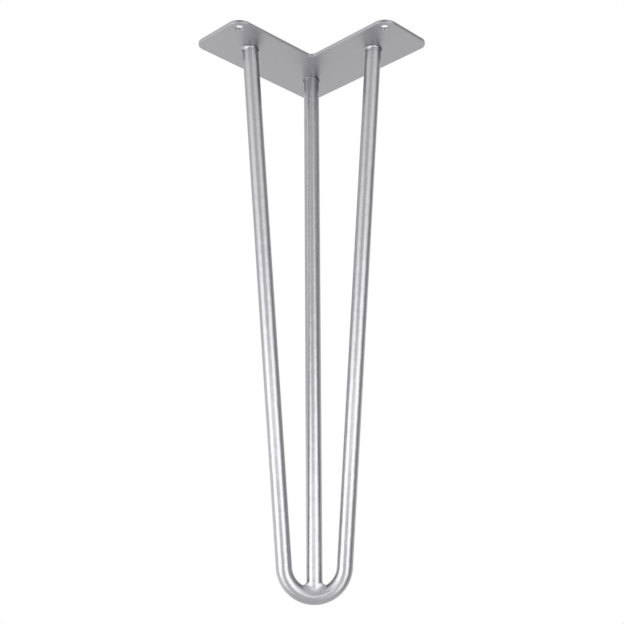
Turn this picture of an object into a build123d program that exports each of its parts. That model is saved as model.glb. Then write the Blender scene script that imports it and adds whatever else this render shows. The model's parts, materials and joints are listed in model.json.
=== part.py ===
from build123d import *
import os
from math import acos, asin, atan2, cos, degrees, hypot, radians, sqrt, tan

# Hairpin table leg: a flat V plate, one round rod bent into a U and a straight rod behind it.
# The frame hangs from the table: Z = 0 is the plate's top face, which lies against the table top.
# The leg reaches down in -Z, and the plate's outer corner and the foot point to +Y.
# The origin is where the centre lines of the plate's two arms cross. All sizes are in mm.

# Whole leg
overall_height = 406.0  # underside of the table top to the floor
foot_reach = 48.0  # how far the foot stands out past the top of the centre rod
rod_diameter = 12.0
rod_spacing = 66.0  # centre rod to side rod on the plate, along an arm
bend_radius = 22.5  # centre line of the U bend
centre_setback = 1.2  # how far the centre rod stands behind the middle of the bend

# Mounting plate
plate_thickness = 2.5
arm_length = 125.0  # outer edge of an arm, from the sharp outer corner
arm_width = 50.0
outer_corner_radius = 8.0
inner_corner_radius = 4.0
end_outer_radius = 8.0
end_inner_radius = 10.0
edge_rounding = 0.4
screw_hole_diameter = 6.0
screw_hole_inset = 8.0  # from the hole's centre to both of its nearest edges

# Rod ends in the plate, welded from above and ground flush
rod_clearance = 0.25  # least gap between a leaning rod and the wall of its hole
weld_prep = 1.0  # bevel round the top of each rod hole
plate_weld_depth = 1.5

# Weld round the centre rod, where it stands on the bend
foot_weld_radius = 2.25
foot_weld_toe = 0.1  # how deep the weld's edge runs out into the rods

# Places worked out from the sizes
rod_radius = rod_diameter / 2
mid_plate = -plate_thickness / 2
side_offset = rod_spacing / sqrt(2)
corner_y = arm_width / sqrt(2)
overrun = rod_diameter  # rods start this far above the plate and are cut off flush with it

foot = Vector(0, foot_reach, rod_radius - overall_height)
centre_foot = foot + Vector(0, centre_setback, 0)
centre_top = Vector(0, 0, mid_plate)
sides_top = Vector(0, -side_offset, mid_plate)

# The U lies in a leaning plane: X across the leg, Y up the leg from the lowest point of the bend
leg_rise = (sides_top - foot).length
bend_plane = Plane(origin=foot, x_dir=(1, 0, 0), z_dir=Vector(1, 0, 0).cross(sides_top - foot))

# Each side rod leaves the bend on a tangent that meets the middle of its hole in the plate
above_bend = leg_rise - bend_radius
splay = degrees(atan2(side_offset, above_bend) - asin(bend_radius / hypot(side_offset, above_bend)))
line_top = (side_offset + overrun * tan(radians(splay)), leg_rise + overrun)

# A leaning rod needs a hole wider than itself, and all three holes are drilled to one size
side_lean = acos(cos(radians(splay)) * (sides_top.Z - foot.Z) / leg_rise)
rod_hole_radius = (
    rod_radius / cos(side_lean) + plate_thickness / 2 * tan(side_lean) + rod_clearance
)

# Plate plane: origin at the sharp outer corner, X along the right arm, -Y along the left arm
arm_plane = Plane(origin=(0, corner_y, 0), x_dir=(1, -1, 0), z_dir=(0, 0, 1))
mid_arm = arm_width / 2
rod_holes = [
    (mid_arm, -mid_arm),
    (mid_arm + rod_spacing, -mid_arm),
    (mid_arm, -mid_arm - rod_spacing),
]
screw_holes = [
    (screw_hole_inset, -screw_hole_inset),
    (arm_length - screw_hole_inset, screw_hole_inset - arm_width),
    (arm_width - screw_hole_inset, screw_hole_inset - arm_length),
]


def nearest(shapes, point):
    return shapes.sort_by_distance(point)[0]


# Mounting plate: two equal arms at a right angle, with rounded corners and edges
with BuildPart() as mounting_plate:
    with BuildSketch(arm_plane.offset(-plate_thickness)) as outline:
        Rectangle(arm_length, arm_width, align=(Align.MIN, Align.MAX))
        Rectangle(arm_width, arm_length, align=(Align.MIN, Align.MAX))
        corner_radii = {
            (0, 0): outer_corner_radius,
            (arm_width, -arm_width): inner_corner_radius,
            (arm_length, 0): end_outer_radius,
            (0, -arm_length): end_outer_radius,
            (arm_length, -arm_width): end_inner_radius,
            (arm_width, -arm_length): end_inner_radius,
        }
        for corner, radius in corner_radii.items():
            fillet(nearest(outline.vertices(), corner), radius)
    extrude(amount=plate_thickness)
    fillet(mounting_plate.edges().filter_by(Axis.Z, reverse=True), edge_rounding)

    with Locations(arm_plane):
        with Locations(*screw_holes):
            Hole(screw_hole_diameter / 2)
    hole_rims = mounting_plate.edges(Select.LAST).filter_by(GeomType.CIRCLE)
    fillet(hole_rims, edge_rounding)

    with Locations(arm_plane):
        with Locations(*rod_holes):
            CounterSinkHole(rod_hole_radius, rod_hole_radius + weld_prep, counter_sink_angle=90)

# Hairpin rod: both side rods and the foot are one length of rod
with BuildPart() as hairpin_rod:
    with BuildLine(bend_plane) as hairpin_line:
        bend = CenterArc((0, bend_radius), bend_radius, 180 + splay, 180 - 2 * splay)
        Line((-line_top[0], line_top[1]), bend @ 0)
        Line(bend @ 1, line_top)
    hairpin_path = hairpin_line.wires()[0]
    with BuildSketch(Plane(origin=hairpin_path @ 0, z_dir=hairpin_path % 0)):
        Circle(rod_radius)
    sweep(path=hairpin_path)
    split(bisect_by=Plane.XY, keep=Keep.BOTTOM)

# Centre rod: straight, with its lower end coped to saddle the bend
centre_axis = Plane(origin=centre_foot, z_dir=centre_top - centre_foot)
with BuildPart() as centre_rod:
    with BuildSketch(centre_axis):
        Circle(rod_radius)
    extrude(amount=(centre_top - centre_foot).length + overrun)
    split(bisect_by=Plane.XY, keep=Keep.BOTTOM)
    add(hairpin_rod.part, mode=Mode.SUBTRACT)

# Foot weld: a concave fillet on each side of the joint, which fades out at the front and the back.
# The rod is run right through the bend here, so that their seam closes on itself and is rounded in
# one piece, and the upper half is kept. It is rounded on slightly thinner cores of the rods, so
# that its edges run out into their surfaces.
with BuildPart() as foot_weld:
    with BuildLine(bend_plane) as bend_line:
        CenterArc((0, bend_radius), bend_radius, 180 + splay, 180 - 2 * splay)
    bend_path = bend_line.wires()[0]
    with BuildSketch(Plane(origin=bend_path @ 0, z_dir=bend_path % 0)):
        Circle(rod_radius - foot_weld_toe)
    sweep(path=bend_path)
    with BuildSketch(centre_axis):
        Circle(rod_radius - foot_weld_toe)
    extrude(amount=2 * bend_radius, both=True)
    fillet(foot_weld.edges(Select.NEW), foot_weld_radius)
    split(bisect_by=centre_axis, keep=Keep.TOP)
    add(hairpin_rod.part, mode=Mode.SUBTRACT)
    add(centre_rod.part, mode=Mode.SUBTRACT)

# Plate welds: a ring round each rod end, filling the bevel and the top of the hole
with BuildPart() as plate_welds:
    with Locations(arm_plane):
        with Locations(*rod_holes):
            top_down = (Align.CENTER, Align.CENTER, Align.MAX)
            Cylinder(rod_hole_radius, plate_weld_depth, align=top_down)
            Cone(rod_hole_radius, rod_hole_radius + weld_prep, weld_prep, align=top_down)
    add(hairpin_rod.part, mode=Mode.SUBTRACT)
    add(centre_rod.part, mode=Mode.SUBTRACT)

mounting_plate.part.label = "mounting_plate"
hairpin_rod.part.label = "hairpin_rod"
centre_rod.part.label = "centre_rod"
foot_weld.part.label = "foot_weld"
plate_welds.part.label = "plate_welds"

os.makedirs("parts", exist_ok=True)
export_step(mounting_plate.part, "parts/mounting_plate.step")
export_step(hairpin_rod.part, "parts/hairpin_rod.step")
export_step(centre_rod.part, "parts/centre_rod.step")
export_step(foot_weld.part, "parts/foot_weld.step")
export_step(plate_welds.part, "parts/plate_welds.step")

print("bend splay, degrees", round(splay, 3), "rod hole diameter", round(2 * rod_hole_radius, 2))
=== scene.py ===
import json
from math import asin, atan2, cos, hypot, pi, radians, sin, sqrt, tan

import bpy
import numpy as np
from mathutils import Matrix, Vector
from mathutils.geometry import tessellate_polygon


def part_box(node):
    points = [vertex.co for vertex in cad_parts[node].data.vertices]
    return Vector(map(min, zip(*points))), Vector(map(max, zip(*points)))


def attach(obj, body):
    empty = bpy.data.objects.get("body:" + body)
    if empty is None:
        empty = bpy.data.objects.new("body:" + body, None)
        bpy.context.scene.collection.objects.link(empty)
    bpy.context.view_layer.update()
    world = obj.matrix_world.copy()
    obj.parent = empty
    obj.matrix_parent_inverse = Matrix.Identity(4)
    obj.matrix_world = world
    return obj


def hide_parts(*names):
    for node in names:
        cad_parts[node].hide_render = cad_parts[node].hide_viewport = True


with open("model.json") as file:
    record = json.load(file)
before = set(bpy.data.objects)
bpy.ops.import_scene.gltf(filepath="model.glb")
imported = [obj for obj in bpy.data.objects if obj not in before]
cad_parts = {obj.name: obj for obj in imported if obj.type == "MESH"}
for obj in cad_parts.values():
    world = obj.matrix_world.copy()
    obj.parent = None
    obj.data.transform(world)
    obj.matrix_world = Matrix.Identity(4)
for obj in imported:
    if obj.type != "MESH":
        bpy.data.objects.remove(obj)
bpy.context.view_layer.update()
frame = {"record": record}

# Hairpin table leg: the finished surfaces of a silver powder-coated leg, in metres and in the
# part's own frame. Z = 0 is the plate's top face, -Z runs down the leg, and +Y points to the
# plate's outer corner and the foot.
mm = 0.001
mounts = {mount["name"]: mount for mount in frame["record"]["mounts"]}

# Rods
rod_radius = 6.0 * mm
rod_spacing = 66.0 * mm
bend_radius = 22.5 * mm
centre_setback = 1.2 * mm

# Weld round the centre rod, where it stands on the bend
foot_weld_radius = 2.25 * mm
front_swell = 3.5  # how much fuller the weld is at its front, as a share of its radius
front_power = 4  # the higher it is, the closer to the front the weld swells

# Plate
plate_thickness = -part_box("mounting_plate")[0].z
arm_length = 125.0 * mm
arm_width = 50.0 * mm
outer_corner_radius = 8.0 * mm
inner_corner_radius = 4.0 * mm
end_outer_radius = 8.0 * mm
end_inner_radius = 10.0 * mm
edge_rounding = 0.4 * mm
screw_hole_radius = mounts["corner_screw_hole"]["dims"]["r_mm"] * mm
screw_hole_inset = 8.0 * mm

# Rod holes and the welds round the rod ends
rod_clearance = 0.25 * mm
weld_prep = 1.0 * mm
plate_weld_depth = 1.5 * mm

# Beads of weld and coat under the plate, where the rods leave it
side_bead = (2.6 * mm, 1.5 * mm)  # height on the rod and width on the plate
centre_bead = (0.6 * mm, 0.5 * mm)
fullest_side = (-0.67, -0.74, 0.0)  # from a rod to where its bead is fullest
bead_power = 5  # the higher it is, the closer to that side the bead stays
thinnest_bead = 0.03  # share of the bead that is left where it runs out

# How finely round forms are divided
ROUND = 96  # points round a rod or a hole
BEND_STEPS = 96  # rings along the U bend
CORNER_STEPS = 16  # points along a corner of the plate
EDGE_STEPS = 5  # rings over a rounded edge
WELD_STEPS = 12  # points across the foot weld
BEAD_STEPS = 8  # points across a bead under the plate
COPE_SHARES = (0.8, 0.6, 0.4, 0.2)  # rings over the centre rod's cope, as shares of its width
HALVINGS = 40  # steps of each search for a place on the joint

# Silver coat
silver = np.array((1.0, 0.994, 1.042))
flake_scale = 5000.0  # flakes to the metre
flake_contrast = 0.13  # how far the flakes go below and above the coat's own shade
flake_range = (0.3, 0.7)  # noise values at which a flake is darkest and brightest
ripple_strength = 0.3

# Studio. Its panels stand upright, face the leg and are placed by azimuth: 0 is +Y, 90 is +X
# and 180 is the camera's side. Their heights are over the plate's top face.
panel_distance = 0.6
floor_size = 80.0
floor_height = -1.3  # low enough for the underside of the leg to be seen from every side
floor_shade = 0.82
# Each row of the two tall softboxes: bottom, top, and the levels on the right and on the left
softbox_rows = [
    (-1.1, -0.75, 1.1, 1.1),
    (-0.75, -0.3, 1.85, 1.9),
    (-0.3, -0.2, 1.4, 1.5),
    (-0.2, 0.0, 0.65, 0.75),
    (0.0, 0.3, 0.25, 0.35),
]

# Camera, as fitted to the photograph
camera_place = np.array((-7.07, -759.36, -426.16)) * mm
camera_yaw = radians(0.4713)
camera_pitch = radians(16.8608)
camera_roll = radians(-0.3911)
focal_in_pixels = 1062.1
picture_width = 624
sensor_width = 36.0  # in millimetres, Blender's unit for it


def unit(vector):
    return vector / np.linalg.norm(vector)


def units(vectors):
    return vectors / np.linalg.norm(vectors, axis=1)[:, None]


# Places worked out from the sizes
x_axis, y_axis, z_axis = np.identity(3)
sin_45 = 1 / sqrt(2)  # and the cosine, for bevels
mid_plate = -plate_thickness / 2
side_offset = rod_spacing / sqrt(2)
foot = np.array(mounts["foot"]["pos_m"]) + rod_radius * z_axis
centre_foot = foot + centre_setback * y_axis
centre_top = np.array((0.0, 0.0, mid_plate))
sides_top = np.array((0.0, -side_offset, mid_plate))

# The U lies in a leaning plane: X across the leg, and up_leg from the lowest point of the bend
leg_rise = np.linalg.norm(sides_top - foot)
up_leg = unit(sides_top - foot)
off_plane = np.cross(x_axis, up_leg)
above_bend = leg_rise - bend_radius
splay = atan2(side_offset, above_bend) - asin(bend_radius / hypot(side_offset, above_bend))
bend_centre = foot + bend_radius * up_leg

# The centre rod: the way up it, and the way to its back
centre_axis = unit(centre_top - centre_foot)
behind = np.cross(centre_axis, x_axis)

# A leaning rod needs a hole wider than itself
lean = np.arccos(cos(splay) * (sides_top - foot)[2] / leg_rise)
rod_hole_radius = rod_radius / cos(lean) + plate_thickness / 2 * tan(lean) + rod_clearance


def place_object(name, data):
    made = bpy.data.objects.new(name, data)
    bpy.context.scene.collection.objects.link(made)
    return made


class Skin:
    """A closed mesh whose face corners carry the true normals of the real surface."""

    def __init__(self):
        self.points, self.faces, self.normals = [], [], []

    def ring(self, points):
        first = len(self.points)
        self.points += [np.array(point, float) for point in points]
        return list(range(first, len(self.points)))

    def rings(self, profile):
        """Rings with their normals, from a list of points and normals.

        Points that come twice in a row share one ring, which is then a sharp edge.
        """
        made = []
        for points, normals in profile:
            if made and np.allclose(points, [self.points[i] for i in made[-1][0]]):
                made.append((made[-1][0], normals))
            else:
                made.append((self.ring(points), normals))
        return made

    def face(self, corners, normals):
        """One face, turned so that it looks the way its normals do."""
        a, b, c = (self.points[i] for i in corners[:3])
        if np.dot(np.cross(b - a, c - a), np.sum(normals, axis=0)) < 0:
            corners, normals = corners[::-1], normals[::-1]
        self.faces.append(corners)
        self.normals += list(normals)

    def band(self, ring_a, ring_b, normals_a, normals_b, closed=True):
        """Quads between two rings of as many points."""
        count = len(ring_a)
        for i in range(count if closed else count - 1):
            j = (i + 1) % count
            corners = [ring_a[i], ring_a[j], ring_b[j], ring_b[i]]
            self.face(corners, [normals_a[i], normals_a[j], normals_b[j], normals_b[i]])

    def bands(self, rings):
        """Quads from each ring to the next one."""
        for (ring_a, normals_a), (ring_b, normals_b) in zip(rings, rings[1:]):
            if ring_a is not ring_b:
                self.band(ring_a, ring_b, normals_a, normals_b)

    def fan(self, ring, normals, tip, tip_normal, closed=True):
        """Triangles from a ring to one point."""
        count = len(ring)
        for i in range(count if closed else count - 1):
            j = (i + 1) % count
            self.face([ring[i], ring[j], tip], [normals[i], normals[j], tip_normal])

    def flat(self, rings, normal):
        """A flat face with holes, from its outline and the rings of the holes."""
        order = [i for ring in rings for i in ring]
        borders = [[Vector(self.points[i]) for i in ring] for ring in rings]
        for triangle in tessellate_polygon(borders):
            self.face([order[i] for i in triangle], [normal] * 3)

    def piece(self, name, node, material):
        """The mesh as the visible piece that stands for a CAD node."""
        made = self.extra(name, material)
        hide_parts(node)
        return made

    def extra(self, name, material):
        """The mesh as a piece of the leg's one body."""
        mesh = bpy.data.meshes.new(name)
        mesh.from_pydata([tuple(point) for point in self.points], [], self.faces)
        mesh.polygons.foreach_set("use_smooth", [True] * len(self.faces))
        mesh.normals_split_custom_set([tuple(unit(normal)) for normal in self.normals])
        mesh.materials.append(material)
        made = place_object(name, mesh)
        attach(made, "root")
        return made


def around(first, second, count=ROUND, start=0.0, turn=2 * pi, ends=False):
    """Unit vectors round a circle spanned by two directions."""
    angles = start + turn * np.arange(count + ends) / count
    return np.outer(np.cos(angles), first) + np.outer(np.sin(angles), second)


def from_bend(points):
    """Nearest points on the centre line of the bend, and the distances to it."""
    flat = points - bend_centre
    flat = flat - np.outer(flat @ off_plane, off_plane)
    nearest = bend_centre + bend_radius * units(flat)
    return nearest, np.linalg.norm(points - nearest, axis=1)


def furthest(holds, low, high):
    """The greatest values from low to high for which a test still holds, found by halving."""
    for _ in range(HALVINGS):
        middle = (low + high) / 2
        low, high = np.where(holds(middle), middle, low), np.where(holds(middle), high, middle)
    return low


def run_down_to_bend(starts, gap):
    """Points straight up the centre rod from starts, where they lie gap from the bend's line."""
    def within(height):
        return from_bend(starts + np.outer(height, centre_axis))[1] < gap
    nothing = np.zeros(len(starts))
    return starts + np.outer(furthest(within, nothing, nothing + bend_radius), centre_axis)


def flush(points, direction):
    """Slides points along a direction to the plate's top face."""
    return points - np.outer(points[:, 2] / direction[2], direction)


def make_hairpin_rod(material):
    skin = Skin()
    rings = []
    for step in range(-1, BEND_STEPS + 2):
        turned = min(max(step, 0), BEND_STEPS) / BEND_STEPS
        angle = pi + splay + (pi - 2 * splay) * turned
        outward = cos(angle) * x_axis + sin(angle) * up_leg
        normals = around(outward, off_plane)
        points = bend_centre + bend_radius * outward + rod_radius * normals
        if step < 0 or step > BEND_STEPS:
            points = flush(points, np.cross(off_plane, outward))
        rings.append((skin.ring(points), normals))
    skin.bands(rings)
    for ring, _ in (rings[0], rings[-1]):
        skin.flat([ring], z_axis)
    return skin.piece("hairpin_rod_coated", "hairpin_rod", material)


def make_cope(skin, rim, normals, width):
    """The hollow end of the centre rod, from its rim to its middle, on the bend's surface."""
    def facing(points):
        return (from_bend(points)[0] - points) / rod_radius

    ring, ring_points = rim, np.array([skin.points[i] for i in rim])
    for share in COPE_SHARES:
        starts = centre_foot + share * rod_radius * width[:, None] * normals
        inner_points = run_down_to_bend(starts, rod_radius)
        inner = skin.ring(inner_points)
        skin.band(ring, inner, facing(ring_points), facing(inner_points))
        ring, ring_points = inner, inner_points
    middle = run_down_to_bend(centre_foot[None, :], rod_radius)
    skin.fan(ring, facing(ring_points), skin.ring(middle)[0], facing(middle)[0])


def make_centre_rod(material):
    """A straight rod, coped to saddle the bend, with a sawn ledge where it stands out behind."""
    normals = around(x_axis, behind)
    sides = centre_foot + rod_radius * normals

    def at_bend(share):
        return from_bend(centre_foot + rod_radius * share[:, None] * normals)[1] < rod_radius

    skin = Skin()
    top, rim = skin.ring(flush(sides, centre_axis)), skin.ring(run_down_to_bend(sides, rod_radius))
    skin.band(top, rim, normals, normals)
    skin.flat([top], z_axis)

    # Where the bend doesn't reach the rod's own side, the cope starts further in
    width = furthest(at_bend, np.zeros(ROUND), np.ones(ROUND))
    past_bend = np.flatnonzero(~np.isclose(width, 1, atol=1e-3))
    saddle = list(rim)
    for i in past_bend:
        saddle[i] = skin.ring([centre_foot + rod_radius * width[i] * normals[i]])[0]
    ledge = rim[past_bend[0] - 1:past_bend[-1] + 2] + [saddle[i] for i in past_bend[::-1]]
    skin.flat([ledge], -centre_axis)
    make_cope(skin, saddle, normals, width)
    return skin.piece("centre_rod_coated", "centre_rod", material)


def seam_reach(radius):
    """How far round from its front a centre rod of this radius meets a bend of the same radius."""
    def at_bend(angle):
        place = centre_foot + radius * (sin(angle) * x_axis - cos(angle) * behind)
        return from_bend(place[None, :])[1][0] < radius
    return float(furthest(at_bend, 0.0, pi))


def round_front(radius):
    """Directions out of such a rod, from one end of its seam with the bend round to the other."""
    end = seam_reach(radius)
    return around(-behind, x_axis, ROUND, -end, 2 * end, ends=True)


def make_foot_weld(material):
    """The form of a ball rolled round the joint, and larger in front, where the weld is fuller."""
    outward = round_front(rod_radius + foot_weld_radius)
    in_front = np.maximum(-outward @ behind, 0)
    radii = foot_weld_radius * (1 + front_swell * in_front**front_power)
    reach = rod_radius + radii
    balls = run_down_to_bend(centre_foot + reach[:, None] * outward, reach)
    on_rod = balls - radii[:, None] * outward
    on_bend = balls + (from_bend(balls)[0] - balls) * (radii / reach)[:, None]
    roots = run_down_to_bend(centre_foot + rod_radius * round_front(rod_radius), rod_radius)

    skin = Skin()
    strips = []
    shares = np.linspace(0, 1, WELD_STEPS + 1)[:, None]
    for ball, radius, from_point, to_point, root in zip(balls, radii, on_rod, on_bend, roots):
        a, b = unit(from_point - ball), unit(to_point - ball)
        turn = np.arccos(a @ b)
        spokes = (np.sin((1 - shares) * turn) * a + np.sin(shares * turn) * b) / sin(turn)
        strips.append((skin.ring(ball + radius * spokes), -spokes, skin.ring([root])[0]))
    for (ring_a, normals_a, root_a), (ring_b, normals_b, root_b) in zip(strips, strips[1:]):
        skin.band(ring_a, ring_b, normals_a, normals_b, closed=False)
        for toe in (0, -1):
            skin.face([ring_a[toe], ring_b[toe], root_b, root_a], [-normals_a[toe]] * 4)
    for ring, _, root in (strips[0], strips[-1]):
        skin.fan(ring, [-centre_axis] * len(ring), root, -centre_axis, closed=False)
    return skin.piece("foot_weld_bead", "foot_weld", material)


def on_plate(x, y):
    """A place on the plate, from its sharp outer corner: x along one arm, -y along the other."""
    return np.array(((x + y) / sqrt(2), arm_width / sqrt(2) + (y - x) / sqrt(2), 0.0))


def plate_outline():
    """Points and outward normals round the V, with every corner an arc."""
    corners = [
        ((0, 0), outer_corner_radius),
        ((0, -arm_length), end_outer_radius),
        ((arm_width, -arm_length), end_inner_radius),
        ((arm_width, -arm_width), inner_corner_radius),
        ((arm_length, -arm_width), end_inner_radius),
        ((arm_length, 0), end_outer_radius),
    ]
    sharp = [on_plate(*corner) for corner, _ in corners]
    points, normals = [], []
    for i, (_, radius) in enumerate(corners):
        back, ahead = unit(sharp[i - 1] - sharp[i]), unit(sharp[(i + 1) % len(sharp)] - sharp[i])
        side = 1 if np.cross(back, ahead)[2] < 0 else -1
        centre = sharp[i] + radius * (back + ahead)
        for share in np.linspace(0, 1, CORNER_STEPS + 1):
            spoke = -(cos(share * pi / 2) * ahead + sin(share * pi / 2) * back)
            points.append(centre + radius * spoke)
            normals.append(side * spoke)
    return np.array(points), np.array(normals)


def edge_profile():
    """Steps down the plate's edge: inset, height, and its normal's outward and upward shares."""
    upper = []
    for share in np.linspace(0, 1, EDGE_STEPS + 1):
        out, up = sin(share * pi / 2), cos(share * pi / 2)
        upper.append(((1 - out) * edge_rounding, (up - 1) * edge_rounding, out, up))
    lower = [(inset, -plate_thickness - height, out, -up) for inset, height, out, up in upper]
    return upper + lower[::-1]


def bevel_profile():
    """Steps down a rod hole, in the same form: a bevel at 45 degrees, then a straight wall."""
    return [
        (weld_prep, 0.0, sin_45, sin_45),
        (0.0, -weld_prep, sin_45, sin_45),
        (0.0, -weld_prep, 1.0, 0.0),
        (0.0, -plate_thickness, 1.0, 0.0),
    ]


def rod_hole_centres():
    mid_arm = arm_width / 2
    return [
        on_plate(mid_arm, -mid_arm),
        on_plate(mid_arm + rod_spacing, -mid_arm),
        on_plate(mid_arm, -mid_arm - rod_spacing),
    ]


def screw_hole_centres():
    return [
        on_plate(screw_hole_inset, -screw_hole_inset),
        on_plate(arm_length - screw_hole_inset, screw_hole_inset - arm_width),
        on_plate(arm_width - screw_hole_inset, screw_hole_inset - arm_length),
    ]


def make_plate(material):
    borders = [(*plate_outline(), edge_profile())]
    for centre in screw_hole_centres():
        spokes = around(x_axis, y_axis, ROUND // 2)
        borders.append((centre + screw_hole_radius * spokes, -spokes, edge_profile()))
    for centre in rod_hole_centres():
        spokes = around(x_axis, y_axis)
        borders.append((centre + rod_hole_radius * spokes, -spokes, bevel_profile()))

    skin = Skin()
    tops, bottoms = [], []
    for points, normals, profile in borders:
        rings = skin.rings([
            (points - inset * normals + height * z_axis, out * normals + up * z_axis)
            for inset, height, out, up in profile
        ])
        skin.bands(rings)
        tops.append(rings[0][0])
        bottoms.append(rings[-1][0])
    skin.flat(tops, z_axis)
    skin.flat(bottoms, -z_axis)
    return skin.piece("mounting_plate_coated", "mounting_plate", material)


def rod_lines():
    """The direction up each rod, in the order of the rod holes."""
    sides = [unit(side * sin(splay) * x_axis + cos(splay) * up_leg) for side in (1, -1)]
    return [centre_axis] + sides


def square_to(line, spokes):
    """Level spokes tilted so that they stand square to a rod."""
    return units(spokes - np.outer(spokes @ line, line))


def make_plate_welds(material):
    """Rings of weld that fill the bevels round the rod ends, ground flush with the plate."""
    skin = Skin()
    spokes = around(x_axis, y_axis)
    upward = np.repeat(z_axis[None, :], ROUND, axis=0)
    on_bevel = sin_45 * (spokes - z_axis)
    for centre, line in zip(rod_hole_centres(), rod_lines()):
        across = square_to(line, spokes)
        top_inner = flush(centre + mid_plate * z_axis + rod_radius * across, line)
        low_inner = top_inner - plate_weld_depth / line[2] * line
        outer = centre + rod_hole_radius * spokes
        rings = skin.rings([
            (low_inner, -across),
            (top_inner, -across),
            (top_inner, upward),
            (outer + weld_prep * spokes, upward),
            (outer + weld_prep * spokes, on_bevel),
            (outer - weld_prep * z_axis, on_bevel),
            (outer - weld_prep * z_axis, spokes),
            (outer - plate_weld_depth * z_axis, spokes),
            (outer - plate_weld_depth * z_axis, -upward),
        ])
        skin.bands(rings + [(rings[0][0], -upward)])
    return skin.piece("plate_weld_rings", "plate_welds", material)


def make_rod_beads(material):
    """Hollow beads under the plate: full at the left and front of each rod, thin at the right."""
    skin = Skin()
    spokes = around(x_axis, y_axis)
    upward = np.repeat(z_axis[None, :], ROUND, axis=0)
    facing = (1 + spokes @ unit(np.array(fullest_side))) / 2
    share = thinnest_bead + (1 - thinnest_bead) * facing[:, None] ** bead_power
    sizes = (centre_bead, side_bead, side_bead)
    for centre, line, (height, width) in zip(rod_hole_centres(), rod_lines(), sizes):
        across = square_to(line, spokes)
        on_rod = centre + mid_plate * z_axis + rod_radius * across
        under = on_rod - np.outer((on_rod[:, 2] + plate_thickness) / line[2], line)
        rings = []
        for turn in np.linspace(0, pi / 2, BEAD_STEPS + 1):
            out = width * share * (1 - cos(turn))
            down = height * share * (1 - sin(turn))
            normals = across * cos(turn) / width - z_axis * sin(turn) / height
            rings.append((skin.ring(under + out * spokes - down * line), normals))
        # The bead's back lies a little way inside the plate
        sunk = edge_rounding * z_axis
        rod_toe, plate_toe = rings[0][0], rings[-1][0]
        outer = skin.ring(under + width * share * spokes + sunk)
        inner = skin.ring(under + sunk)
        skin.bands(rings + [
            (plate_toe, spokes),
            (outer, spokes),
            (outer, upward),
            (inner, upward),
            (inner, -across),
            (rod_toe, -across),
        ])
    return skin.extra("rod_top_beads", material)


def new_material(name):
    """A material with its nodes and its links."""
    material = bpy.data.materials.new(name)
    material.use_nodes = True
    return material, material.node_tree.nodes, material.node_tree.links


def noise(nodes, links, scale, detail):
    """Noise that is fixed to the leg."""
    texture = nodes.new("ShaderNodeTexNoise")
    texture.inputs["Scale"].default_value = scale
    texture.inputs["Detail"].default_value = detail
    place = nodes.new("ShaderNodeTexCoord").outputs["Object"]
    links.new(place, texture.inputs["Vector"])
    return texture.outputs["Fac"]


def silver_coat(name, flake_shade, roughness, ripple_scale, ripple_depth):
    """Satin silver powder coat: fine metal flake in a film that ripples like orange peel."""
    material, nodes, links = new_material(name)
    shader = nodes["Principled BSDF"]
    shader.inputs["Metallic"].default_value = 1.0
    shader.inputs["Roughness"].default_value = roughness

    shade = nodes.new("ShaderNodeValToRGB")
    shares = (1 - flake_contrast, 1 + flake_contrast)
    for end, position, share in zip(shade.color_ramp.elements, flake_range, shares):
        end.position = position
        end.color = (*(share * flake_shade * silver), 1)
    links.new(noise(nodes, links, flake_scale, detail=1.0), shade.inputs["Fac"])
    links.new(shade.outputs["Color"], shader.inputs["Base Color"])

    bump = nodes.new("ShaderNodeBump")
    bump.inputs["Strength"].default_value = ripple_strength
    bump.inputs["Distance"].default_value = ripple_depth
    links.new(noise(nodes, links, ripple_scale, detail=3.0), bump.inputs["Height"])
    links.new(bump.outputs["Normal"], shader.inputs["Normal"])
    return material


def white_studio():
    """A plain white room round the leg and behind it."""
    world = bpy.data.worlds.new("white_room")
    world.use_nodes = True
    world.node_tree.nodes["Background"].inputs["Color"].default_value = (1, 1, 1, 1)
    world.node_tree.nodes["Background"].inputs["Strength"].default_value = 1.0
    bpy.context.scene.world = world


def sheet(name, width, height, material):
    """A flat rectangle that faces +Z."""
    x, y = width / 2, height / 2
    mesh = bpy.data.meshes.new(name)
    mesh.from_pydata([(-x, -y, 0), (x, -y, 0), (x, y, 0), (-x, y, 0)], [], [(0, 1, 2, 3)])
    mesh.materials.append(material)
    return place_object(name, mesh)


def make_floor():
    """A plain pale floor, which the metal's reflections show as white as the room."""
    material, nodes, links = new_material("pale_floor")
    shader = nodes["Principled BSDF"]
    shader.inputs["Base Color"].default_value = (floor_shade, floor_shade, floor_shade, 1)
    shader.inputs["Roughness"].default_value = 0.9
    in_metal = nodes.new("ShaderNodeMixShader")
    links.new(nodes.new("ShaderNodeLightPath").outputs["Is Glossy Ray"], in_metal.inputs["Fac"])
    links.new(shader.outputs["BSDF"], in_metal.inputs[1])
    links.new(nodes.new("ShaderNodeEmission").outputs["Emission"], in_metal.inputs[2])
    links.new(in_metal.outputs["Shader"], nodes["Material Output"].inputs["Surface"])
    floor = sheet("floor", floor_size, floor_size, material)
    floor.matrix_world = Matrix.Translation((0, 0, floor_height))


def standing_panel(azimuth, low, high):
    """Matrix of an upright panel whose -Z side faces the leg."""
    turn = radians(azimuth)
    place = Vector((panel_distance * sin(turn), panel_distance * cos(turn), (low + high) / 2))
    facing = Vector((-sin(turn), -cos(turn), 0))
    return Matrix.Translation(place) @ facing.to_track_quat("-Z", "Y").to_matrix().to_4x4()


def softbox(name, azimuth, width, low, high, level):
    """An even, square-edged light. At level 1 it adds as much as the white room behind it."""
    data = bpy.data.lights.new(name, "AREA")
    data.shape = "RECTANGLE"
    data.size, data.size_y = width, high - low
    data.energy = level * pi * width * (high - low)
    box = place_object(name, data)
    box.matrix_world = standing_panel(azimuth, low, high)
    box.visible_camera = False


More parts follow.
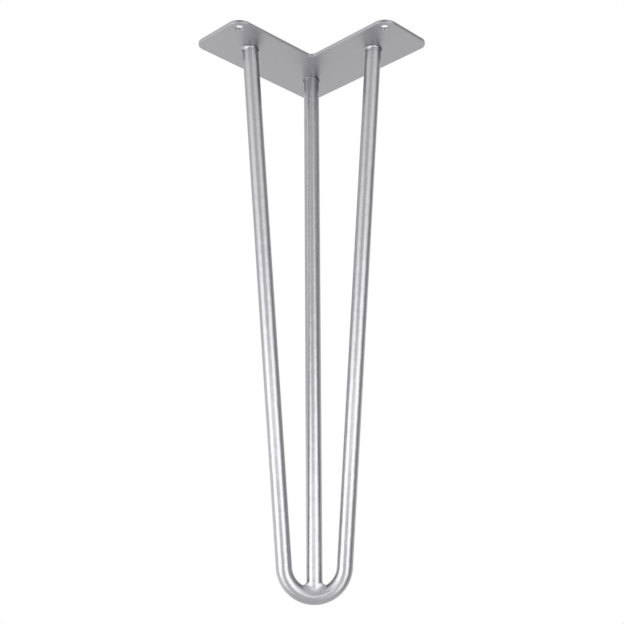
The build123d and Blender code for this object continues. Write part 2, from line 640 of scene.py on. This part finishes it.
def grey_board(name, azimuth, width, low, high, level):
    """A board that only the leg's reflections see, for darker flanks on its rods."""
    material, nodes, links = new_material(name)
    nodes.clear()
    glow = nodes.new("ShaderNodeEmission")
    glow.inputs["Color"].default_value = (level, level, level, 1)
    output = nodes.new("ShaderNodeOutputMaterial")
    links.new(glow.outputs["Emission"], output.inputs["Surface"])
    board = sheet(name, width, high - low, material)
    board.matrix_world = standing_panel(azimuth, low, high)
    board.visible_camera = board.visible_diffuse = board.visible_shadow = False
    board.visible_transmission = False


def make_camera():
    """The photograph's camera: just below the foot, looking up at the underside of the plate."""
    level = np.array((cos(camera_yaw), -sin(camera_yaw), 0.0))
    ahead = cos(camera_pitch) * np.array((sin(camera_yaw), cos(camera_yaw), 0.0))
    ahead += sin(camera_pitch) * z_axis
    over = np.cross(level, ahead)
    right = cos(camera_roll) * level + sin(camera_roll) * over
    up = cos(camera_roll) * over - sin(camera_roll) * level
    data = bpy.data.cameras.new("camera")
    data.sensor_width = sensor_width
    data.lens = focal_in_pixels / picture_width * sensor_width
    camera = place_object("camera", data)
    turn = Matrix([Vector(right), Vector(up), Vector(-ahead)]).transposed().to_4x4()
    camera.matrix_world = Matrix.Translation(Vector(camera_place)) @ turn
    bpy.context.scene.camera = camera


rod_coat = silver_coat(
    "coat_on_rods", flake_shade=0.38, roughness=0.28, ripple_scale=110.0, ripple_depth=1.2 * mm
)
weld_coat = silver_coat(
    "coat_on_welds", flake_shade=0.39, roughness=0.33, ripple_scale=380.0, ripple_depth=0.15 * mm
)
# Painted light: the plate and its weld rings get the rods' silver coat, painted a shade lighter so
# that the plate's underside renders brighter.
lightened_plate_coat = silver_coat(
    "coat_on_plate", flake_shade=0.4, roughness=0.37, ripple_scale=700.0, ripple_depth=0.015 * mm
)
make_hairpin_rod(rod_coat)
make_centre_rod(rod_coat)
make_foot_weld(weld_coat)
make_plate(lightened_plate_coat)
make_plate_welds(lightened_plate_coat)
make_rod_beads(rod_coat)

# Two tall softboxes beside the camera light the rods, brightest at the height of the bend. A small
# one between them lights the bend, one behind lights the back, and grey boards darken the flanks.
white_studio()
make_floor()
for low, high, right_level, left_level in softbox_rows:
    softbox("softbox_right", 143, width=0.47, low=low, high=high, level=right_level)
    softbox("softbox_left", 237, width=0.56, low=low, high=high, level=left_level)
softbox("softbox_middle", 186, width=0.45, low=-0.52, high=-0.38, level=1.3)
softbox("softbox_behind", 308, width=0.7, low=-0.9, high=-0.2, level=0.35)
grey_board("board_right", 89, width=0.41, low=-1.1, high=0.05, level=0.48)
grey_board("board_right_upper", 89, width=0.5, low=0.05, high=0.6, level=0.5)
grey_board("board_above_camera", 180, width=0.5, low=0.24, high=0.6, level=0.25)
make_camera()

bpy.context.scene.view_settings.view_transform = "Standard"
